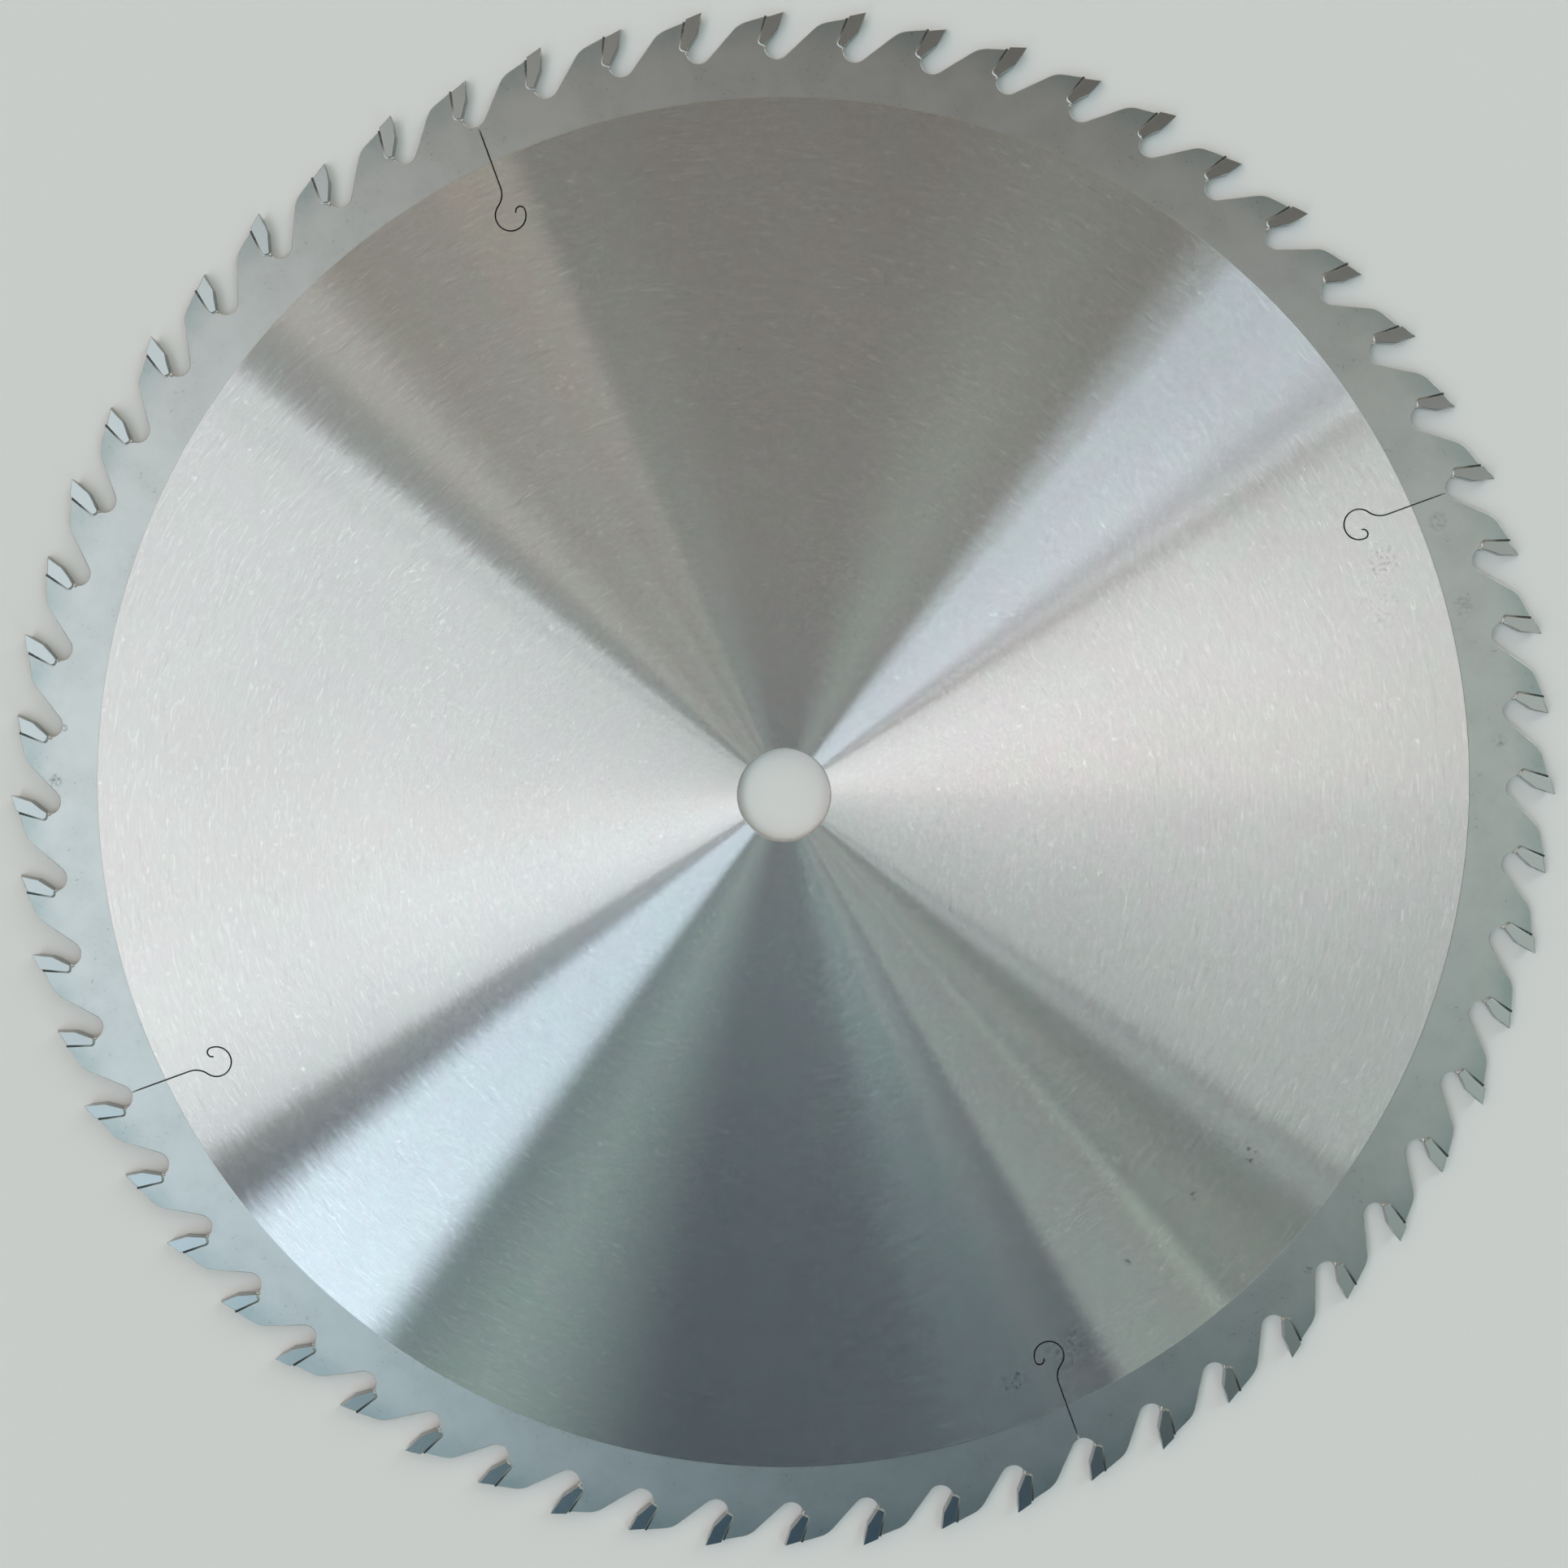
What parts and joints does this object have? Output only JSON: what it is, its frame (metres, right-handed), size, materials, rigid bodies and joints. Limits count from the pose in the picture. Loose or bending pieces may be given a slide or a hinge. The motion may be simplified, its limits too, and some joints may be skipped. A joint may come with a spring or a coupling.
{
  "type": "circular saw blade",
  "caption": "Flat circular saw blade: round steel plate with a central bore, gullets, curled expansion slots and brazed carbide tips ground with alternate top bevels, for cutting wood.",
  "frame": {"origin": "centre of the bore, on the middle plane of the plate", "axes": "+Z along the bore's axis, out of the face from which the blade cuts clockwise; +X through the cutting edge of carbide_tip_01, to the picture's right; +Y up in the picture"},
  "size_m": [0.5, 0.5, 0.0044],
  "materials": {
    "plate_steel": "circular ground inside, matte blasted band round the rim",
    "tungsten_carbide": "fine ground cemented carbide"
  },
  "bodies": {
    "root": {"saw_plate": "plate_steel", "carbide_tip_01": "tungsten_carbide", "carbide_tip_02": "tungsten_carbide", "carbide_tip_03": "tungsten_carbide", "carbide_tip_04": "tungsten_carbide", "carbide_tip_05": "tungsten_carbide", "carbide_tip_06": "tungsten_carbide", "carbide_tip_07": "tungsten_carbide", "carbide_tip_08": "tungsten_carbide", "carbide_tip_09": "tungsten_carbide", "carbide_tip_10": "tungsten_carbide", "carbide_tip_11": "tungsten_carbide", "carbide_tip_12": "tungsten_carbide", "carbide_tip_13": "tungsten_carbide", "carbide_tip_14": "tungsten_carbide", "carbide_tip_15": "tungsten_carbide", "carbide_tip_16": "tungsten_carbide", "carbide_tip_17": "tungsten_carbide", "carbide_tip_18": "tungsten_carbide", "carbide_tip_19": "tungsten_carbide", "carbide_tip_20": "tungsten_carbide", "carbide_tip_21": "tungsten_carbide", "carbide_tip_22": "tungsten_carbide", "carbide_tip_23": "tungsten_carbide", "carbide_tip_24": "tungsten_carbide", "carbide_tip_25": "tungsten_carbide", "carbide_tip_26": "tungsten_carbide", "carbide_tip_27": "tungsten_carbide", "carbide_tip_28": "tungsten_carbide", "carbide_tip_29": "tungsten_carbide", "carbide_tip_30": "tungsten_carbide", "carbide_tip_31": "tungsten_carbide", "carbide_tip_32": "tungsten_carbide", "carbide_tip_33": "tungsten_carbide", "carbide_tip_34": "tungsten_carbide", "carbide_tip_35": "tungsten_carbide", "carbide_tip_36": "tungsten_carbide", "carbide_tip_37": "tungsten_carbide", "carbide_tip_38": "tungsten_carbide", "carbide_tip_39": "tungsten_carbide", "carbide_tip_40": "tungsten_carbide", "carbide_tip_41": "tungsten_carbide", "carbide_tip_42": "tungsten_carbide", "carbide_tip_43": "tungsten_carbide", "carbide_tip_44": "tungsten_carbide", "carbide_tip_45": "tungsten_carbide", "carbide_tip_46": "tungsten_carbide", "carbide_tip_47": "tungsten_carbide", "carbide_tip_48": "tungsten_carbide", "carbide_tip_49": "tungsten_carbide", "carbide_tip_50": "tungsten_carbide", "carbide_tip_51": "tungsten_carbide", "carbide_tip_52": "tungsten_carbide", "carbide_tip_53": "tungsten_carbide", "carbide_tip_54": "tungsten_carbide", "carbide_tip_55": "tungsten_carbide", "carbide_tip_56": "tungsten_carbide", "carbide_tip_57": "tungsten_carbide", "carbide_tip_58": "tungsten_carbide", "carbide_tip_59": "tungsten_carbide"}
  },
  "joints": []
}
